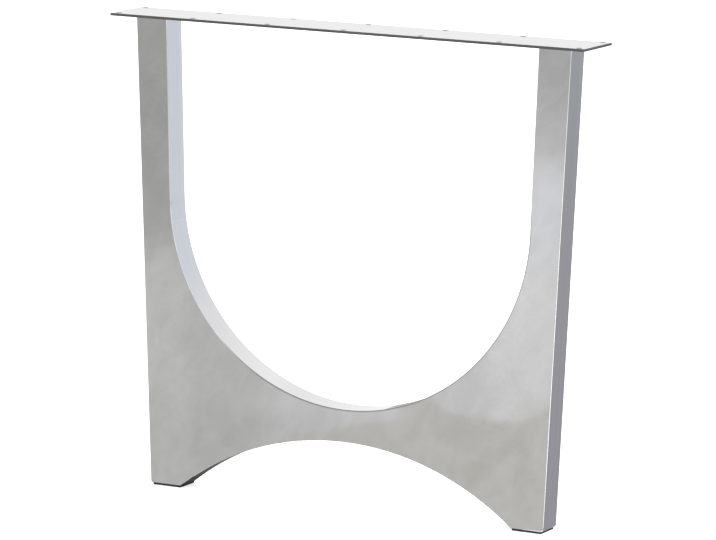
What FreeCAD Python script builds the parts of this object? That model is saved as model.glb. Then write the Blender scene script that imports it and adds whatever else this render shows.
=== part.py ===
# U shaped table leg: a hollow frame welded from sheet, a bolt-on plate on top and a pad under each foot.
# Millimetres. The origin is on the floor, midway between the feet. X runs along the plate, -Y is the
# front and +Z is up.

import FreeCAD, Part

import math
import os

# Overall sizes
LEG_HEIGHT = 720.0
TOP_WIDTH = 722.0
FRAME_DEPTH = 45.0

# Frame outline, seen from the front
FOOT_INSET = 30.0
POST_WIDTH = 52.0
INNER_LEAN = math.radians(1.8)
BRIDGE_HEIGHT = 49.0
ARCH_CLEARANCE = 101.5
FOOT_WIDTH = 52.0
TOE_RADIUS = 4.0

# Sheet that the frame is welded from
SHEET = 2.5
EDGE_RADIUS = 1.2

# Mounting plate and its two rows of bolt holes
PLATE_THICKNESS = 4.0
PLATE_END_OVERHANG = 31.5
PLATE_SIDE_OVERHANG = 25.0
PLATE_CORNER_RADIUS = 1.5
HOLES_IN_ROW = 7
HOLE_DIAMETER = 9.0
HOLE_END_MARGIN = 11.5
HOLE_SIDE_MARGIN = 7.5

# Pads under the feet
PAD_THICKNESS = 3.0
PAD_INSET = 1.0

# Levels
FRAME_TOP = LEG_HEIGHT - PLATE_THICKNESS
FRAME_BASE = PAD_THICKNESS
BRIDGE_TOP = ARCH_CLEARANCE + BRIDGE_HEIGHT

# Outer side line: it leans in towards the floor
FOOT_HALF = TOP_WIDTH / 2.0 - FOOT_INSET
OUTER_LEAN = math.atan2(FOOT_INSET, FRAME_TOP - FRAME_BASE)

# Round bottom of the U: it touches both leaning inner lines and the top of the bridge
INNER_HALF_TOP = TOP_WIDTH / 2.0 - POST_WIDTH
INNER_HALF_BASE = INNER_HALF_TOP - FRAME_TOP * math.tan(INNER_LEAN)
BEND_HEIGHT = (BRIDGE_TOP + INNER_HALF_BASE * math.cos(INNER_LEAN)) / (1.0 - math.sin(INNER_LEAN))
BEND_RADIUS = BEND_HEIGHT - BRIDGE_TOP

# Arch between the feet: one arc through its crown and the inner corners of the feet
ARCH_HALF_SPAN = FOOT_HALF - FOOT_WIDTH
ARCH_RISE = ARCH_CLEARANCE - FRAME_BASE
ARCH_RADIUS = (ARCH_HALF_SPAN ** 2 + ARCH_RISE ** 2) / (2.0 * ARCH_RISE)
ARCH_CENTRE = ARCH_CLEARANCE - ARCH_RADIUS

# Toe: the fold in the side strip, tangent to the outer side line and to the base
TOE_HEIGHT = FRAME_BASE + TOE_RADIUS
TOE_HALF = FOOT_HALF + TOE_RADIUS * math.tan(OUTER_LEAN) - TOE_RADIUS / math.cos(OUTER_LEAN)

# Plate outline and bolt pattern
PLATE_LENGTH = TOP_WIDTH + 2.0 * PLATE_END_OVERHANG
PLATE_WIDTH = FRAME_DEPTH + 2.0 * PLATE_SIDE_OVERHANG
HOLE_PITCH = (PLATE_LENGTH - 2.0 * HOLE_END_MARGIN) / (HOLES_IN_ROW - 1)
ROW_SPACING = PLATE_WIDTH - 2.0 * HOLE_SIDE_MARGIN

SIDES = {"left": -1, "right": 1}
TOLERANCE = 0.01


def point(x, z):
    """A point on the front view."""
    return FreeCAD.Vector(x, 0.0, z)


def round_point(x, z, radius, angle):
    """The point of a circle about (x, z) at an angle from +X."""
    return point(x + radius * math.cos(angle), z + radius * math.sin(angle))


def line(start, end):
    return Part.makeLine(start, end)


def arc(start, middle, end):
    return Part.Arc(start, middle, end).toShape()


def arch_half(inset):
    """Half the width of the arch at the base, for an outline moved in by an inset."""
    radius = ARCH_RADIUS + inset
    return math.sqrt(radius ** 2 - (FRAME_BASE + inset - ARCH_CENTRE) ** 2)


def side_path(side, inset):
    """Outside of one post, from the plate round the toe to the inner corner of the foot."""
    top = point(side * (TOP_WIDTH / 2.0 - inset / math.cos(OUTER_LEAN)), FRAME_TOP)
    radius = TOE_RADIUS - inset
    angles = [-OUTER_LEAN, -(OUTER_LEAN + math.pi / 2.0) / 2.0, -math.pi / 2.0]
    bend = [round_point(TOE_HALF, TOE_HEIGHT, radius, angle) for angle in angles]
    toe = [point(side * corner.x, corner.z) for corner in bend]
    heel = point(side * arch_half(inset), FRAME_BASE + inset)
    return [line(top, toe[0]), arc(*toe), line(toe[-1], heel)]


def arch_path(inset):
    """Arch between the feet, from the left heel to the right one."""
    half = arch_half(inset)
    crown = point(0.0, ARCH_CLEARANCE + inset)
    return [arc(point(-half, FRAME_BASE + inset), crown, point(half, FRAME_BASE + inset))]


def inner_path(inset):
    """Inside of the U, from the left end under the plate to the right one."""
    half = INNER_HALF_TOP + inset / math.cos(INNER_LEAN)
    radius = BEND_RADIUS + inset
    left_top = point(-half, FRAME_TOP)
    left_bend = round_point(0.0, BEND_HEIGHT, radius, math.pi + INNER_LEAN)
    bottom = point(0.0, BEND_HEIGHT - radius)
    right_bend = round_point(0.0, BEND_HEIGHT, radius, -INNER_LEAN)
    right_top = point(half, FRAME_TOP)
    return [line(left_top, left_bend), arc(left_bend, bottom, right_bend), line(right_bend, right_top)]


def path_ends(path):
    """The two free ends of a path whose edges are in order."""
    wire = Part.Wire(path)
    ends = wire.OrderedVertexes
    return ends[0].Point, ends[-1].Point


def face_between(near_path, far_path):
    """Face between two paths that run the same way."""
    near_start, near_end = path_ends(near_path)
    far_start, far_end = path_ends(far_path)
    edges = near_path + far_path + [line(near_start, far_start), line(near_end, far_end)]
    return Part.Face(Part.Wire(Part.__sortEdges__(edges)))


def extruded(face, front, back):
    """A front view face given its depth, from y = front to y = back."""
    solid = face.extrude(FreeCAD.Vector(0.0, back - front, 0.0))
    solid.translate(FreeCAD.Vector(0.0, front, 0.0))
    return solid


def outline_face():
    """The whole front view of the frame: two posts, the bridge, the arch and the feet."""
    edges = arch_path(0.0) + inner_path(0.0)
    for side in SIDES.values():
        edges += side_path(side, 0.0)
        edges.append(line(point(side * TOP_WIDTH / 2.0, FRAME_TOP), point(side * INNER_HALF_TOP, FRAME_TOP)))
    return Part.Face(Part.Wire(Part.__sortEdges__(edges)))


def face_sheet(front):
    """U shaped sheet whose outer edges are rounded over; its top edge stays square for the plate."""
    outer = -FRAME_DEPTH / 2.0 if front else FRAME_DEPTH / 2.0
    inner = outer + SHEET if front else outer - SHEET
    sheet = extruded(outline_face(), min(outer, inner), max(outer, inner))
    rounded = []
    for edge in sheet.Edges:
        box = edge.BoundBox
        on_outside = abs(box.YMin - outer) < TOLERANCE and abs(box.YMax - outer) < TOLERANCE
        at_plate = box.ZMin > FRAME_TOP - TOLERANCE
        if on_outside and not at_plate:
            rounded.append(edge)
    return sheet.makeFillet(EDGE_RADIUS, rounded)


def strip(near_path, far_path):
    """Strip that closes the box between the two face sheets."""
    half = FRAME_DEPTH / 2.0 - SHEET
    return extruded(face_between(near_path, far_path), -half, half)


def mounting_plate():
    """Flat bar with two rows of bolt holes."""
    plate = Part.makeBox(PLATE_LENGTH, PLATE_WIDTH, PLATE_THICKNESS)
    plate.translate(FreeCAD.Vector(-PLATE_LENGTH / 2.0, -PLATE_WIDTH / 2.0, FRAME_TOP))
    upright = [edge for edge in plate.Edges if edge.BoundBox.ZLength > PLATE_THICKNESS - TOLERANCE]
    plate = plate.makeFillet(PLATE_CORNER_RADIUS, upright)
    first = -HOLE_PITCH * (HOLES_IN_ROW - 1) / 2.0
    for row in (-ROW_SPACING / 2.0, ROW_SPACING / 2.0):
        for index in range(HOLES_IN_ROW):
            seat = FreeCAD.Vector(first + index * HOLE_PITCH, row, FRAME_TOP)
            plate = plate.cut(Part.makeCylinder(HOLE_DIAMETER / 2.0, PLATE_THICKNESS, seat))
    return plate


def foot_pad(side):
    """Thin pad on the flat underside of one foot."""
    heel = ARCH_HALF_SPAN + PAD_INSET
    length = TOE_HALF - heel
    depth = FRAME_DEPTH - 2.0 * EDGE_RADIUS
    pad = Part.makeBox(length, depth, PAD_THICKNESS)
    pad.translate(FreeCAD.Vector(side * (heel + length / 2.0) - length / 2.0, -depth / 2.0, 0.0))
    return pad


nodes = {
    "mounting_plate": mounting_plate(),
    "front_face": face_sheet(True),
    "rear_face": face_sheet(False),
    "inner_band": strip(inner_path(0.0), inner_path(SHEET)),
    "arch_band": strip(arch_path(0.0), arch_path(SHEET)),
}
for hand, side in SIDES.items():
    nodes["side_strip_" + hand] = strip(side_path(side, 0.0), side_path(side, SHEET))
    nodes["pad_" + hand] = foot_pad(side)

os.makedirs("parts", exist_ok=True)
for name, shape in nodes.items():
    shape.exportStep("parts/" + name + ".step")
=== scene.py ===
import math

import bpy
from mathutils import Matrix, Vector

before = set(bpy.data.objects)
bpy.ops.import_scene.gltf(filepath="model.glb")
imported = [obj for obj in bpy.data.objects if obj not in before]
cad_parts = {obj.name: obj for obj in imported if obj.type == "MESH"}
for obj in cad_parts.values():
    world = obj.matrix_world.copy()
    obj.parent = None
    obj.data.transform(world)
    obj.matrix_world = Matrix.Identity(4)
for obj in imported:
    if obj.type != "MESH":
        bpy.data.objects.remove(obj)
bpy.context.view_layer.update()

# The photograph's frame and the camera fitted to it
IMAGE_WIDTH = 716
SENSOR_WIDTH = 36.0
FOCAL_PIXELS = 4759.0
CAMERA_PLACE = Vector((3.2442, -6.1489, 1.5570))
CAMERA_YAW = 0.4844
CAMERA_PITCH = -0.17075
CAMERA_ROLL = 0.0135
VIEW_DEPTH = 100.0

# The frame of the leg, as its outline runs in the model
FRAME_DEPTH = 0.045
FRONT = -FRAME_DEPTH / 2.0
FOOT_HALF = 0.331
TOP_HALF = 0.361
FRAME_TOP = 0.716
OUTER_LEAN = math.atan2(TOP_HALF - FOOT_HALF, FRAME_TOP)
BEND_CENTRE = Vector((0.0, 0.0, 0.451))
BEND_RADIUS = 0.3005
PLATE_LENGTH = 0.785
PLATE_WIDTH = 0.095

# Directions in which the front face and the right outer side look
FACES_FRONT = Vector((0.0, -1.0, 0.0))
FACES_RIGHT = Vector((math.cos(OUTER_LEAN), 0.0, -math.sin(OUTER_LEAN)))

# Nodes by what they are made of
FACE_NODES = ["front_face", "rear_face"]
BAND_NODES = ["inner_band", "arch_band", "side_strip_left", "side_strip_right"]
PLATE_NODES = ["mounting_plate"]
PAD_NODES = ["pad_left", "pad_right"]

# Slant of the smears on the faces, and how much each pattern is squeezed along X, Y and Z
SMEAR_SLANT = (0.0, math.radians(55.0), 0.0)
SMEAR_SQUEEZE = (5.0, 1.0, 10.0)
STREAK_SQUEEZE = (0.8, 60.0, 0.8)
GRAIN_SQUEEZE = (1.0, 30.0, 30.0)

# Where the polishing wheel was held longest, and how its marks fade out round those spots
BUFFED_SPOTS = [Vector((-0.25, 0.0, 0.23)), Vector((0.24, 0.0, 0.22)), Vector((-0.33, 0.0, 0.58))]
BUFFED_FADE = (0.06, 0.16)
BUFFED_TONE = 0.984

# Rounded edges of the face sheets, told by where the surface faces: a highlight is painted on the
# upright ones and shade on the level ones
ROUND_FROM = (0.02, 0.12)
ROUND_TO = (0.94, 0.99)
LEVEL_FROM = (0.0, 0.06)
RIGHT_ALLOWANCE = -0.5
# Painted highlight on the upright rounded edges, and painted shade on the level ones
UPRIGHT_HIGHLIGHT_TONE = 1.13
LEVEL_SHADE_TONE = 0.69

# Painted shade line beside the rounded edge of the bend: how far beyond it, and from where across
LINE_BEYOND = (0.0012, 0.0032)
LINE_ACROSS = (-0.23, -0.10)
LINE_SHADE_TONE = 0.76

# Bottom of the U, where the band faces up and is darkened with painted shade
BOTTOM_FROM = (0.87, 0.98)
BOTTOM_SHADE_TONE = 0.885

# Mounting plate: how far up its level faces face, and how close to its outline it is sawn
PLATE_LEVEL_FROM = (0.4, 0.8)
PLATE_SAWN_FROM = (-0.002, -0.0005)

# The floor, the light above it, and the directions of the world's soft dark patches
FLOOR_REACH = 30.0
FLOOR_GLOW = 0.55
SOFTBOX_PLACE = Vector((-1.0, 2.0, 5.0))
SOFTBOX_SIDE = 20.0
SOFTBOX_WATTS = 1150.0
DARK_ABOVE = Vector((-0.38, -0.45, 0.81))
DARK_LEFT = Vector((-0.93, -0.02, 0.36))

# Heights of the cards over the floor: where two overlap, the metal mirrors the higher one
GROUND_HEIGHT = 0.0003
FIELD_HEIGHT = 0.0010
CORNER_HEIGHT = 0.0013
ARCH_HEIGHT = 0.0014
SIDE_HEIGHT = 0.0016
WEDGE_HEIGHT = 0.0018

# Ground card and front card: their reach, and how far the front one runs past the face's image
GROUND_REACH = 9.0
FRONT_REACH = 8.0
MARGIN_AT_FOOT = 0.01
MARGIN_AT_TOP = 0.03
JUST_OVER_FLOOR = 0.002

# Runner behind the right post: its start, and its margins about the image of the outer side
RUNNER_START = FRONT - 0.0015
RUNNER_FOOT_HEIGHT = 0.006
RUNNER_BY_FOOT = 0.004
RUNNER_BESIDE_FOOT = 0.02
RUNNER_OUT_AT_FOOT = 0.08
RUNNER_OUT_AT_END = 0.45
RUNNER_IN = 0.05
RUNNER_PAST_TOP = 0.12

# Card by the right foot's front corner
CORNER_START = 0.296
CORNER_DEPTH = 0.012
CORNER_PAST_FOOT = 0.004

# Bright wedges: their place off the right foot, their reach, and the directions from +X that bound them
WEDGE_START = 0.02
WEDGE_OUT = 0.003
WEDGE_AHEAD = 0.001
WEDGE_REACH = 6.0
WEDGE_TURN = math.radians(-60.0)
GLINT_TURN = math.radians(-24.0)
GLINT_END = math.radians(-2.0)

# The camera's image behind the front face, from which the bands of the front card fan out
FAN_CENTRE = Vector((3.24, 6.10))
FAN_RISE = 1.56

# Olive patch on the front face: its upper edge dips on the right and slopes in the middle
DIP_CENTRE = 0.235
DIP_HALF = 0.052
DIP_STEEPNESS = 14.0
DIP_EDGE = (0.158, 0.167)
SLOPE_RISE = 0.235
SLOPE_BEND = 0.071
SLOPE_STEEPNESS = 30.0
SLOPE_EDGE = (0.1205, 0.1255)
RIGHT_FROM = (0.096, 0.104)
MIDDLE_FROM = (-0.16, -0.12)

# Spans across which the paint of the left and of the right varies, and how far clouds shift its edges
LEFT_SPAN = (-0.30, 0.10)
RIGHT_SPAN = (0.14, 0.34)
BRIGHT_WAVE = 0.05
DIP_WAVE = 0.006

# Tones: the metal's own reflectance, and the slight casts of what it mirrors
METAL_TONE = 0.865
PLAIN = (1.0, 1.0, 1.0)
WARM = (1.0, 1.0, 0.98)
OLIVE = (1.012, 1.0, 0.953)
COOL = (0.99, 0.995, 1.035)
PALE_BLUE = (0.935, 1.0, 1.09)
STEEL_BLUE = (0.95, 1.0, 1.06)
LILAC = (1.0, 1.0, 1.09)


def node_graph(name):
    """A new material, its node tree and its shader."""
    material = bpy.data.materials.new(name)
    material.use_nodes = True
    tree = material.node_tree
    return material, tree, tree.nodes["Principled BSDF"]


def metal(name):
    """A new metallic material, its node tree and its shader."""
    material, tree, shader = node_graph(name)
    shader.inputs["Metallic"].default_value = 1.0
    return material, tree, shader


def add(tree, kind, **settings):
    """A node with its properties set, and its sockets by name with underscores for spaces."""
    node = tree.nodes.new(kind)
    for key, value in settings.items():
        if hasattr(node, key):
            setattr(node, key, value)
        else:
            node.inputs[key.replace("_", " ")].default_value = value
    return node


def object_point(tree):
    """Where a point lies, in metres in the frame of the CAD."""
    return add(tree, "ShaderNodeTexCoord").outputs["Object"]


def world_direction(tree):
    """The direction in which the world is seen."""
    return add(tree, "ShaderNodeTexCoord").outputs["Generated"]


def parts(tree, vector):
    """The X, Y and Z of a vector."""
    node = add(tree, "ShaderNodeSeparateXYZ")
    tree.links.new(vector, node.inputs["Vector"])
    return node.outputs["X"], node.outputs["Y"], node.outputs["Z"]


def normal_parts(tree):
    """The X, Y and Z of the surface's normal."""
    return parts(tree, add(tree, "ShaderNodeNewGeometry").outputs["Normal"])


def place(tree, squeeze, turn=(0.0, 0.0, 0.0)):
    """Points of the object, turned and then squeezed for a texture."""
    vector = object_point(tree)
    for settings in ({"Rotation": turn}, {"Scale": squeeze}):
        node = add(tree, "ShaderNodeMapping", **settings)
        tree.links.new(vector, node.inputs["Vector"])
        vector = node.outputs["Vector"]
    return vector


def vector_maths(tree, operation, vector, other=(0.0, 0.0, 0.0)):
    """One arithmetic step on a vector and a constant one."""
    node = add(tree, "ShaderNodeVectorMath", operation=operation)
    tree.links.new(vector, node.inputs[0])
    node.inputs[1].default_value = other
    return node


def maths(tree, operation, first, second=0.0):
    """One arithmetic step on two values, each a socket or a number."""
    node = add(tree, "ShaderNodeMath", operation=operation)
    for socket, value in zip(node.inputs, (first, second)):
        if isinstance(value, (int, float)):
            socket.default_value = value
        else:
            tree.links.new(value, socket)
    return node.outputs[0]


def plus(tree, first, second):
    """Two values added."""
    return maths(tree, "ADD", first, second)


def minus(tree, first, second):
    """A value less another."""
    return maths(tree, "SUBTRACT", first, second)


def times(tree, first, second):
    """Two values multiplied."""
    return maths(tree, "MULTIPLY", first, second)


def magnitude(tree, value):
    """A value without its sign."""
    return maths(tree, "ABSOLUTE", value)


def past(tree, value, start, steepness):
    """How far a value lies past a start, squared, and 0 before it."""
    beyond = maths(tree, "MAXIMUM", minus(tree, value, start), 0.0)
    return times(tree, times(tree, beyond, beyond), steepness)


def spread(tree, share, low, high):
    """A share from 0 to 1 made to run from low to high."""
    node = add(tree, "ShaderNodeMapRange", To_Min=low, To_Max=high)
    tree.links.new(share, node.inputs["Value"])
    return node.outputs["Result"]


def share_between(tree, value, low, high):
    """A value made to run from 0 at low to 1 at high."""
    node = add(tree, "ShaderNodeMapRange", From_Min=low, From_Max=high)
    tree.links.new(value, node.inputs["Value"])
    return node.outputs["Result"]


def step(tree, value, edge):
    """A soft step from 0 to 1, over an edge given by its low and its high value."""
    low, high = edge
    node = add(tree, "ShaderNodeMapRange", interpolation_type="SMOOTHSTEP", From_Min=low, From_Max=high)
    tree.links.new(value, node.inputs["Value"])
    return node.outputs["Result"]


def noise(tree, vector, scale, detail=3.0, roughness=0.5, swirl=0.0):
    node = add(tree, "ShaderNodeTexNoise", Scale=scale, Detail=detail, Roughness=roughness,
               Distortion=swirl)
    tree.links.new(vector, node.inputs["Vector"])
    return node.outputs["Fac"]


def grey(tone):
    return (tone, tone, tone)


def ramp(tree, factor, stops):
    """A colour ramp with its stops given as position and colour."""
    node = add(tree, "ShaderNodeValToRGB")
    elements = node.color_ramp.elements
    for element, (position, colour) in zip(elements, (stops[0], stops[-1])):
        element.position = position
        element.color = (*colour, 1.0)
    for position, colour in stops[1:-1]:
        elements.new(position).color = (*colour, 1.0)
    tree.links.new(factor, node.inputs["Fac"])
    return node.outputs["Color"]


def mottled(tree, pattern, dark, light, margin=0.3):
    """Two colours that follow a pattern, blended over the middle of its range."""
    return ramp(tree, pattern, [(margin, dark), (1.0 - margin, light)])


def toned(tree, share, tone):
    """A grey that goes from 1 to a tone as a share goes from 0 to 1."""
    return ramp(tree, share, [(0.0, grey(1.0)), (1.0, grey(tone))])


def shown(level, cast=PLAIN):
    """What a card must give off for the metal to show a level from 0 to 255, with a slight cast."""
    linear = ((level / 255.0 + 0.055) / 1.055) ** 2.4
    return tuple(linear / METAL_TONE * channel for channel in cast)


def card_tones(tree, factor, stops):
    """A ramp over a card, with its stops given as position, level and, where it has one, cast."""
    return ramp(tree, factor, [(position, shown(*tone)) for position, *tone in stops])


def mix(tree, factor, first, second):
    node = add(tree, "ShaderNodeMix", data_type="RGBA")
    tree.links.new(factor, node.inputs[0])
    tree.links.new(first, node.inputs[6])
    tree.links.new(second, node.inputs[7])
    return node.outputs[2]


def multiplied(tree, first, second):
    """Two colours multiplied."""
    node = add(tree, "ShaderNodeMix", data_type="RGBA", blend_type="MULTIPLY")
    node.inputs[0].default_value = 1.0
    tree.links.new(first, node.inputs[6])
    tree.links.new(second, node.inputs[7])
    return node.outputs[2]


def coat(tree, shader, colour, pattern, smoothest, roughest):
    """Colour and roughness of a shader, with the roughness following a pattern."""
    tree.links.new(colour, shader.inputs["Base Color"])
    tree.links.new(spread(tree, pattern, smoothest, roughest), shader.inputs["Roughness"])


def bump(tree, shader, height, strength, distance):
    node = add(tree, "ShaderNodeBump", Strength=strength, Distance=distance)
    tree.links.new(height, node.inputs["Height"])
    tree.links.new(node.outputs["Normal"], shader.inputs["Normal"])


def sheet_waves(tree):
    """Shallow waves that welding and grinding leave in sheet."""
    return noise(tree, object_point(tree), scale=12.0, detail=2.0, roughness=0.4)


def buffing(tree, centre):
    """Faint round marks that a polishing wheel leaves about a spot, fading out away from it."""
    offset = vector_maths(tree, "SUBTRACT", object_point(tree), centre).outputs["Vector"]
    rings = add(tree, "ShaderNodeTexWave", wave_type="RINGS", rings_direction="SPHERICAL", Scale=34.0,
                Distortion=13.0, Detail=4.0, Detail_Scale=1.1, Detail_Roughness=0.6)
    tree.links.new(offset, rings.inputs["Vector"])
    away = vector_maths(tree, "LENGTH", offset).outputs["Value"]
    near = minus(tree, 1.0, step(tree, away, BUFFED_FADE))
    return toned(tree, times(tree, rings.outputs["Fac"], near), BUFFED_TONE)


def painted_edge_highlight_and_shade(tree, colour):
    """A colour with a painted highlight on the upright rounded edges and painted shade on the level and
    arched ones.
    """
    x, y, z = normal_parts(tree)
    depthwise = magnitude(tree, y)
    rounded = minus(tree, step(tree, depthwise, ROUND_FROM), step(tree, depthwise, ROUND_TO))
    sideways = maths(tree, "MAXIMUM", x, times(tree, x, RIGHT_ALLOWANCE))
    slope = minus(tree, magnitude(tree, z), sideways)
    level = times(tree, rounded, step(tree, slope, LEVEL_FROM))
    upright = minus(tree, rounded, level)
    # Painted highlight on the upright edges, multiplied by painted shade on the level ones
    tones = multiplied(tree, toned(tree, upright, UPRIGHT_HIGHLIGHT_TONE), toned(tree, level, LEVEL_SHADE_TONE))
    return multiplied(tree, colour, tones)


def painted_bend_shade_line(tree):
    """A thin line of painted shade on the face sheets, along the bottom and the right of the U's bend.
    """
    point = object_point(tree)
    flat = vector_maths(tree, "MULTIPLY", point, (1.0, 0.0, 1.0)).outputs["Vector"]
    from_centre = vector_maths(tree, "DISTANCE", flat, BEND_CENTRE).outputs["Value"]
    beyond = minus(tree, from_centre, BEND_RADIUS)
    beside = minus(tree, 1.0, step(tree, beyond, LINE_BEYOND))
    across = parts(tree, point)[0]
    # The painted shade line, fading out beyond the bend and towards the left
    return toned(tree, times(tree, beside, step(tree, across, LINE_ACROSS)), LINE_SHADE_TONE)


def polished_face():
    """Plated sheet polished by hand: nearly a mirror, with cloudy patches and slanting smears."""
    material, tree, shader = metal("polished_face")
    clouds = noise(tree, object_point(tree), scale=11.0, detail=5.0, roughness=0.55, swirl=1.2)
    slanting = place(tree, SMEAR_SQUEEZE, SMEAR_SLANT)
    smears = noise(tree, slanting, scale=4.0, detail=2.0, roughness=0.45, swirl=0.8)
    cloudy = mottled(tree, clouds, (0.835, 0.835, 0.83), (0.90, 0.90, 0.91))
    smeared = mottled(tree, smears, (0.96, 0.96, 0.955), grey(1.014), margin=0.35)
    colour = multiplied(tree, cloudy, smeared)
    for centre in BUFFED_SPOTS:
        colour = multiplied(tree, colour, buffing(tree, centre))
    # Painted highlight and shade on the rounded edges, and a painted shade line beside the bend
    colour = multiplied(tree, painted_edge_highlight_and_shade(tree, colour), painted_bend_shade_line(tree))
    coat(tree, shader, colour, clouds, smoothest=0.03, roughest=0.09)
    bump(tree, shader, sheet_waves(tree), strength=0.3, distance=0.0005)
    return material


def polished_band():
    """Plated strip polished along its run, so its streaks follow it and vary across its width."""
    material, tree, shader = metal("polished_band")
    streaks = noise(tree, place(tree, STREAK_SQUEEZE), scale=2.0, detail=3.0, roughness=0.5)
    streaked = mottled(tree, streaks, (0.845, 0.845, 0.85), (0.885, 0.88, 0.885), margin=0.35)
    # Painted shade where the band faces up, at the bottom of the U
    faces_up = step(tree, normal_parts(tree)[2], BOTTOM_FROM)
    colour = multiplied(tree, streaked, toned(tree, faces_up, BOTTOM_SHADE_TONE))
    coat(tree, shader, colour, streaks, smoothest=0.03, roughest=0.07)
    bump(tree, shader, sheet_waves(tree), strength=0.3, distance=0.0004)
    return material


def satin_plate():
    """Flat bar with faintly streaked satin faces, duller holes, and sawn edges darkened partly by their
    duller finish and partly by painted shade.
    """
    material, tree, shader = metal("satin_plate")
    grain = noise(tree, place(tree, GRAIN_SQUEEZE), scale=8.0, detail=4.0, roughness=0.6)
    satin = mottled(tree, grain, grey(0.812), grey(0.882))
    hole = mottled(tree, grain, (0.50, 0.50, 0.49), (0.56, 0.56, 0.55))
    # Sawn edges: a duller finish, darkened further with painted shade
    sawn_dull_and_shaded = mottled(tree, grain, grey(0.145), grey(0.185))
    level = step(tree, magnitude(tree, normal_parts(tree)[2]), PLATE_LEVEL_FROM)
    x, y, _ = parts(tree, object_point(tree))
    past_end = minus(tree, magnitude(tree, x), PLATE_LENGTH / 2.0)
    past_side = minus(tree, magnitude(tree, y), PLATE_WIDTH / 2.0)
    outside = step(tree, maths(tree, "MAXIMUM", past_end, past_side), PLATE_SAWN_FROM)
    colour = mix(tree, level, mix(tree, outside, hole, sawn_dull_and_shaded), satin)
    coat(tree, shader, colour, grain, smoothest=0.25, roughest=0.40)
    bump(tree, shader, grain, strength=0.15, distance=0.0003)
    return material


def pad_rubber():
    """Matt black rubber with a fine grain."""
    material, tree, shader = node_graph("pad_rubber")
    grain = noise(tree, object_point(tree), scale=900.0, detail=3.0, roughness=0.6)
    colour = mottled(tree, grain, grey(0.012), (0.030, 0.030, 0.029))
    coat(tree, shader, colour, grain, smoothest=0.55, roughest=0.8)
    bump(tree, shader, grain, strength=0.3, distance=0.0003)
    return material


def dress(names, material):
    """Give nodes of the model one material."""
    for name in names:
        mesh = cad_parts[name].data
        mesh.materials.clear()
        mesh.materials.append(material)


def sheet_of(name, corners, height):
    """A flat piece of the studio, lying level at a height, with its corners given as x and y."""
    mesh = bpy.data.meshes.new(name)
    mesh.from_pydata([(x, y, height) for x, y in corners], [], [tuple(range(len(corners)))])
    sheet = bpy.data.objects.new(name, mesh)
    bpy.context.scene.collection.objects.link(sheet)
    return sheet


def rectangle(low, high):
    """Corners of a rectangle between its lowest and its highest one."""
    return [(low[0], low[1]), (high[0], low[1]), (high[0], high[1]), (low[0], high[1])]


def square(reach):
    """Corners of a square about the origin."""
    return rectangle((-reach, -reach), (reach, reach))


def plain_floor():
    """A wide pale floor with a faint glow of its own, which keeps the shadows soft."""
    floor = sheet_of("floor", square(FLOOR_REACH), 0.0)
    material, tree, shader = node_graph("floor_paint")
    shader.inputs["Roughness"].default_value = 0.9
    shader.inputs["Specular IOR Level"].default_value = 0.1
    paint = mottled(tree, noise(tree, object_point(tree), scale=1.5), grey(0.92), grey(0.94))
    tree.links.new(paint, shader.inputs["Base Color"])
    shader.inputs["Emission Color"].default_value = (*PLAIN, 1.0)
    shader.inputs["Emission Strength"].default_value = FLOOR_GLOW
    floor.data.materials.append(material)


def studio_card(name, corners, height, strength=1.0):
    """A glowing card on the floor that only the metal's reflections see: its tree and colour socket."""
    card = sheet_of(name, corners, height)
    card.visible_camera = False
    card.visible_diffuse = False
    card.visible_shadow = False
    card.visible_transmission = False
    card.visible_volume_scatter = False
    material = bpy.data.materials.new(name)
    material.use_nodes = True
    tree = material.node_tree
    tree.nodes.remove(tree.nodes["Principled BSDF"])
    glow = add(tree, "ShaderNodeEmission", Strength=strength)
    tree.links.new(glow.outputs["Emission"], tree.nodes["Material Output"].inputs["Surface"])
    card.data.materials.append(material)
    return tree, glow.inputs["Color"]


def mirrored(point, normal):
    """Where on the floor the camera looks when it sees the floor mirrored at a point of the leg."""
    ray = (point - CAMERA_PLACE).reflect(normal)
    return (point - ray * (point.z / ray.z)).to_2d()


def on_front_face(tree):
    """For a point of the floor, where on the front face it is mirrored: how far across and up."""
    x, y, _ = parts(tree, object_point(tree))
    share = maths(tree, "DIVIDE", minus(tree, FRONT, y), minus(tree, FAN_CENTRE.y, y))
    across = plus(tree, x, times(tree, share, minus(tree, FAN_CENTRE.x, x)))
    return across, times(tree, share, FAN_RISE)


def left_paint(tree, across, up):
    """Cloudy warm grey of the left and the middle: darker up the post, brighter over the bridge."""
    upwards = card_tones(tree, up, [
        (0.0, 176, WARM), (0.06, 176, WARM), (0.12, 178, WARM), (0.15, 183, WARM), (0.335, 183, WARM),
        (0.365, 173, WARM), (0.39, 165, WARM), (0.42, 161, WARM), (0.48, 159, WARM), (0.57, 154.5, WARM),
        (0.70, 157, WARM)])
    raised = (1.076, 1.076, 1.105)
    highest = (1.134, 1.134, 1.165)
    sideways = ramp(tree, share_between(tree, across, *LEFT_SPAN), [
        (0.05, grey(1.0)), (0.13, grey(0.93)), (0.37, grey(0.93)), (0.42, grey(1.0)),
        (0.48, raised), (0.68, raised), (0.75, highest), (1.0, highest)])
    return multiplied(tree, upwards, sideways)


def right_paint(tree, across, wavy_up):
    """Bright patch of the right, which fades out up the post and is dimmer at both sides."""
    upwards = card_tones(tree, wavy_up, [
        (0.16, 200), (0.25, 204), (0.30, 206), (0.36, 209), (0.45, 209, COOL), (0.52, 208, COOL),
        (0.545, 197), (0.57, 185), (0.60, 179), (0.63, 172), (0.66, 167), (0.70, 166)])
    sideways = ramp(tree, share_between(tree, across, *RIGHT_SPAN), [
        (0.0, grey(0.91)), (0.42, grey(0.91)), (0.54, grey(0.99)), (0.75, grey(1.0)), (1.0, grey(0.98))])
    return multiplied(tree, upwards, sideways)


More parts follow.
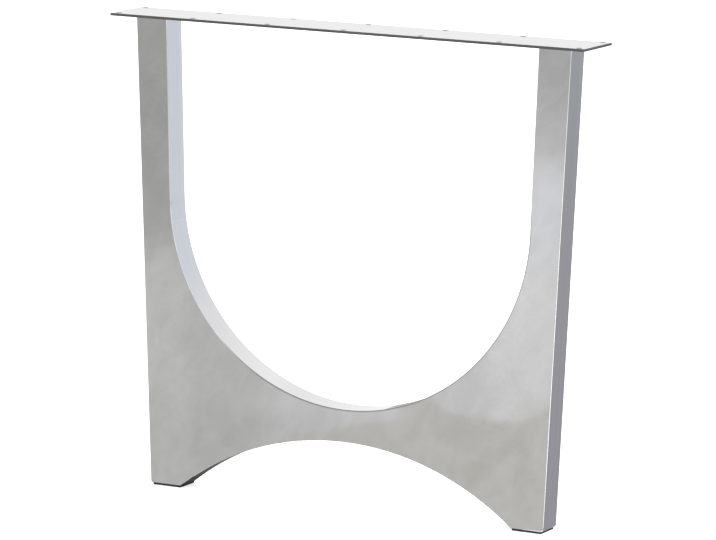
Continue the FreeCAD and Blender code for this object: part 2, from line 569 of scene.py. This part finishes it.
def over_dip(tree, across, wavy_up):
    """Share that is 1 above the olive patch on the right, where its edge dips."""
    from_dip = magnitude(tree, minus(tree, across, DIP_CENTRE))
    rise = past(tree, from_dip, DIP_HALF, DIP_STEEPNESS)
    return step(tree, minus(tree, wavy_up, rise), DIP_EDGE)


def over_slope(tree, across, up):
    """Share that is 1 above the olive patch in the middle, where its edge slopes and then bends up."""
    rise = plus(tree, times(tree, across, SLOPE_RISE), past(tree, across, SLOPE_BEND, SLOPE_STEEPNESS))
    return step(tree, minus(tree, up, rise), SLOPE_EDGE)


def front_card():
    """The floor in front and on the left, painted in bands that fan out from a point behind the leg.

    Distances across and up the fan match those on the front face that mirrors it. The left is cloudy
    grey. The right has a bright patch with a curved near edge, and olive grey before it.
    """
    near = mirrored(Vector((FOOT_HALF + MARGIN_AT_FOOT, FRONT, JUST_OVER_FLOOR)), FACES_FRONT)
    far = mirrored(Vector((TOP_HALF + MARGIN_AT_TOP, FRONT, FRAME_TOP)), FACES_FRONT)
    corners = [(-FRONT_REACH, near.y), (near.x, near.y), (far.x, far.y), (far.x, -FRONT_REACH),
               (-FRONT_REACH, -FRONT_REACH)]
    tree, colour = studio_card("card_front", corners, FIELD_HEIGHT)
    across, up = on_front_face(tree)
    on_face = add(tree, "ShaderNodeCombineXYZ")
    tree.links.new(across, on_face.inputs["X"])
    tree.links.new(up, on_face.inputs["Y"])
    clouds = noise(tree, on_face.outputs["Vector"], scale=14.0, detail=5.0, roughness=0.55, swirl=1.5)

    left = left_paint(tree, across, up)
    right = right_paint(tree, across, plus(tree, up, spread(tree, clouds, -BRIGHT_WAVE, BRIGHT_WAVE)))
    olive = mottled(tree, clouds, shown(179, OLIVE), shown(182, OLIVE), margin=0.35)
    under_slope = minus(tree, 1.0, over_slope(tree, across, up))
    olive_share = times(tree, under_slope, step(tree, across, MIDDLE_FROM))
    right_share = over_dip(tree, across, plus(tree, up, spread(tree, clouds, -DIP_WAVE, DIP_WAVE)))
    on_left = mix(tree, olive_share, left, olive)
    on_right = mix(tree, right_share, olive, right)
    paint = mix(tree, step(tree, across, RIGHT_FROM), on_left, on_right)
    cloudy = mottled(tree, clouds, (0.97, 0.97, 0.96), (1.035, 1.035, 1.05))
    tree.links.new(multiplied(tree, paint, cloudy), colour)


def side_card():
    """A grey runner behind the right post, which darkens what the outer side mirrors."""
    foot = mirrored(Vector((FOOT_HALF, 0.0, RUNNER_FOOT_HEIGHT)), FACES_RIGHT)
    top = mirrored(Vector((TOP_HALF, 0.0, FRAME_TOP)), FACES_RIGHT)
    along = (top - foot).normalized()
    out = Vector((along.y, -along.x))
    end = top + along * RUNNER_PAST_TOP
    corners = [Vector((FOOT_HALF - RUNNER_BY_FOOT, RUNNER_START)),
               Vector((FOOT_HALF + RUNNER_BESIDE_FOOT, RUNNER_START)),
               foot + out * RUNNER_OUT_AT_FOOT, end + out * RUNNER_OUT_AT_END,
               end - out * RUNNER_IN, foot - out * RUNNER_IN]
    tree, colour = studio_card("card_side", corners, SIDE_HEIGHT)
    y = parts(tree, object_point(tree))[1]
    tones = card_tones(tree, maths(tree, "DIVIDE", y, top.y), [
        (0.0, 145, LILAC), (0.5, 147, LILAC), (1.0, 151, STEEL_BLUE)])
    tree.links.new(tones, colour)


def rear_card():
    """The floor behind on the right, a little darker and cooler than the rest."""
    corners = [(-0.2, 2.2), (0.9, 2.2), (2.4, 3.8), (12.0, 12.0), (18.0, 29.0), (0.0, 29.0)]
    tree, colour = studio_card("card_rear", corners, FIELD_HEIGHT)
    clouds = noise(tree, object_point(tree), scale=1.5)
    tree.links.new(mottled(tree, clouds, shown(202, PALE_BLUE), shown(205, PALE_BLUE)), colour)


def ground_card():
    """Cloudy grey floor all round, so that the metal shows up against the white from every side."""
    tree, colour = studio_card("card_ground", square(GROUND_REACH), GROUND_HEIGHT)
    clouds = noise(tree, object_point(tree), scale=1.2, detail=4.0, roughness=0.55, swirl=1.0)
    tones = card_tones(tree, clouds, [(0.3, 166, WARM), (0.5, 180, WARM), (0.7, 196, COOL)])
    tree.links.new(tones, colour)


def wedge_card(name, turns, strength):
    """A bright wedge on the right, dimmer farther out, which lights the rounded right edge."""
    apex = Vector((FOOT_HALF + WEDGE_OUT, FRONT - WEDGE_AHEAD))
    near_ray, far_ray = [Vector((math.cos(turn), math.sin(turn))) for turn in turns]
    corners = [apex + near_ray * WEDGE_START, apex + near_ray * WEDGE_REACH,
               apex + far_ray * WEDGE_REACH, apex + far_ray * WEDGE_START]
    tree, colour = studio_card(name, corners, WEDGE_HEIGHT, strength)
    away = vector_maths(tree, "LENGTH", object_point(tree)).outputs["Value"]
    tones = card_tones(tree, maths(tree, "DIVIDE", away, WEDGE_REACH), [
        (0.08, 226), (0.14, 244), (0.27, 244), (0.36, 238), (0.46, 226), (0.54, 205), (0.64, 180),
        (0.85, 170)])
    tree.links.new(tones, colour)


def arch_shade_cards():
    """Dark cards in the mouth of the arch that stand in for the shade under the leg, which its underside
    and its rounded front edge mirror.
    """
    by_left_foot = [(-0.285, FRONT), (-0.25, FRONT), (-0.23, 0.12), (-0.23, 0.32), (-0.38, 0.32),
                    (-0.32, 0.12), (-0.285, 0.03)]
    by_right_foot = rectangle((-0.02, -0.02), (0.275, 0.07))
    for name, corners in (("card_arch_shade_left", by_left_foot), ("card_arch_shade_right", by_right_foot)):
        # Painted shade: dark sheets where the floor under the arch lies in the leg's shade
        tree, colour = studio_card(name, corners, ARCH_HEIGHT)
        y = parts(tree, object_point(tree))[1]
        tree.links.new(card_tones(tree, y, [(0.0, 60), (0.12, 98), (0.22, 118), (0.32, 150)]), colour)


def corner_card():
    """A bright patch close to the right foot's front corner, which lights the lower edge there."""
    corners = rectangle((CORNER_START, FRONT - CORNER_DEPTH), (FOOT_HALF + CORNER_PAST_FOOT, FRONT))
    tree, colour = studio_card("card_corner", corners, CORNER_HEIGHT, strength=1.6)
    x = parts(tree, object_point(tree))[0]
    tree.links.new(card_tones(tree, x, [(0.298, 190), (0.316, 235), (0.34, 250)]), colour)


def dark_patch(tree, centre, rim, core, depth):
    """A soft dark patch of the world about a direction; rim and core are cosines of angles from it."""
    toward = vector_maths(tree, "DOT_PRODUCT", world_direction(tree), centre).outputs["Value"]
    return ramp(tree, toward, [(rim, grey(1.0)), (core, grey(depth))])


def pale_world():
    """A pale world, darker and bluer towards the right, with two soft dark patches."""
    world = bpy.data.worlds.new("studio")
    bpy.context.scene.world = world
    world.use_nodes = True
    tree = world.node_tree
    sideways = share_between(tree, parts(tree, world_direction(tree))[0], -1.0, 1.0)
    tint = ramp(tree, sideways, [
        (0.27, grey(1.02)), (0.42, (0.96, 0.96, 0.965)), (0.55, (0.88, 0.88, 0.89)),
        (0.66, (0.81, 0.81, 0.84)), (0.75, (0.68, 0.715, 0.77))])
    above = dark_patch(tree, DARK_ABOVE, rim=0.70, core=0.84, depth=0.19)
    left = dark_patch(tree, DARK_LEFT, rim=0.74, core=0.90, depth=0.45)
    colour = multiplied(tree, tint, multiplied(tree, above, left))
    tree.links.new(colour, tree.nodes["Background"].inputs["Color"])


def softbox():
    """One wide soft light overhead, which the metal doesn't mirror."""
    light = bpy.data.lights.new("softbox", "AREA")
    light.size = SOFTBOX_SIDE
    light.energy = SOFTBOX_WATTS
    box = bpy.data.objects.new("softbox", light)
    box.location = SOFTBOX_PLACE
    box.visible_glossy = False
    bpy.context.scene.collection.objects.link(box)


def camera():
    """The long lens fitted to the photograph."""
    yaw, pitch, roll = CAMERA_YAW, CAMERA_PITCH, CAMERA_ROLL
    ahead = math.cos(pitch)
    forward = Vector((-math.sin(yaw) * ahead, math.cos(yaw) * ahead, math.sin(pitch)))
    level = Vector((math.cos(yaw), math.sin(yaw), 0.0))
    upright = level.cross(forward)
    right = level * math.cos(roll) + upright * math.sin(roll)
    up = upright * math.cos(roll) - level * math.sin(roll)
    data = bpy.data.cameras.new("camera")
    data.sensor_width = SENSOR_WIDTH
    data.lens = FOCAL_PIXELS * SENSOR_WIDTH / IMAGE_WIDTH
    data.clip_end = VIEW_DEPTH
    lens = bpy.data.objects.new("camera", data)
    turn = Matrix((right, up, -forward)).transposed().to_4x4()
    lens.matrix_world = Matrix.Translation(CAMERA_PLACE) @ turn
    bpy.context.scene.collection.objects.link(lens)
    bpy.context.scene.camera = lens


dress(FACE_NODES, polished_face())
dress(BAND_NODES, polished_band())
dress(PLATE_NODES, satin_plate())
dress(PAD_NODES, pad_rubber())

plain_floor()
front_card()
side_card()
rear_card()
ground_card()
wedge_card("card_wedge", (WEDGE_TURN, GLINT_TURN), strength=0.80)
wedge_card("card_glint", (GLINT_TURN, GLINT_END), strength=2.9)
arch_shade_cards()
corner_card()
pale_world()
softbox()
camera()
bpy.context.scene.view_settings.view_transform = "Standard"
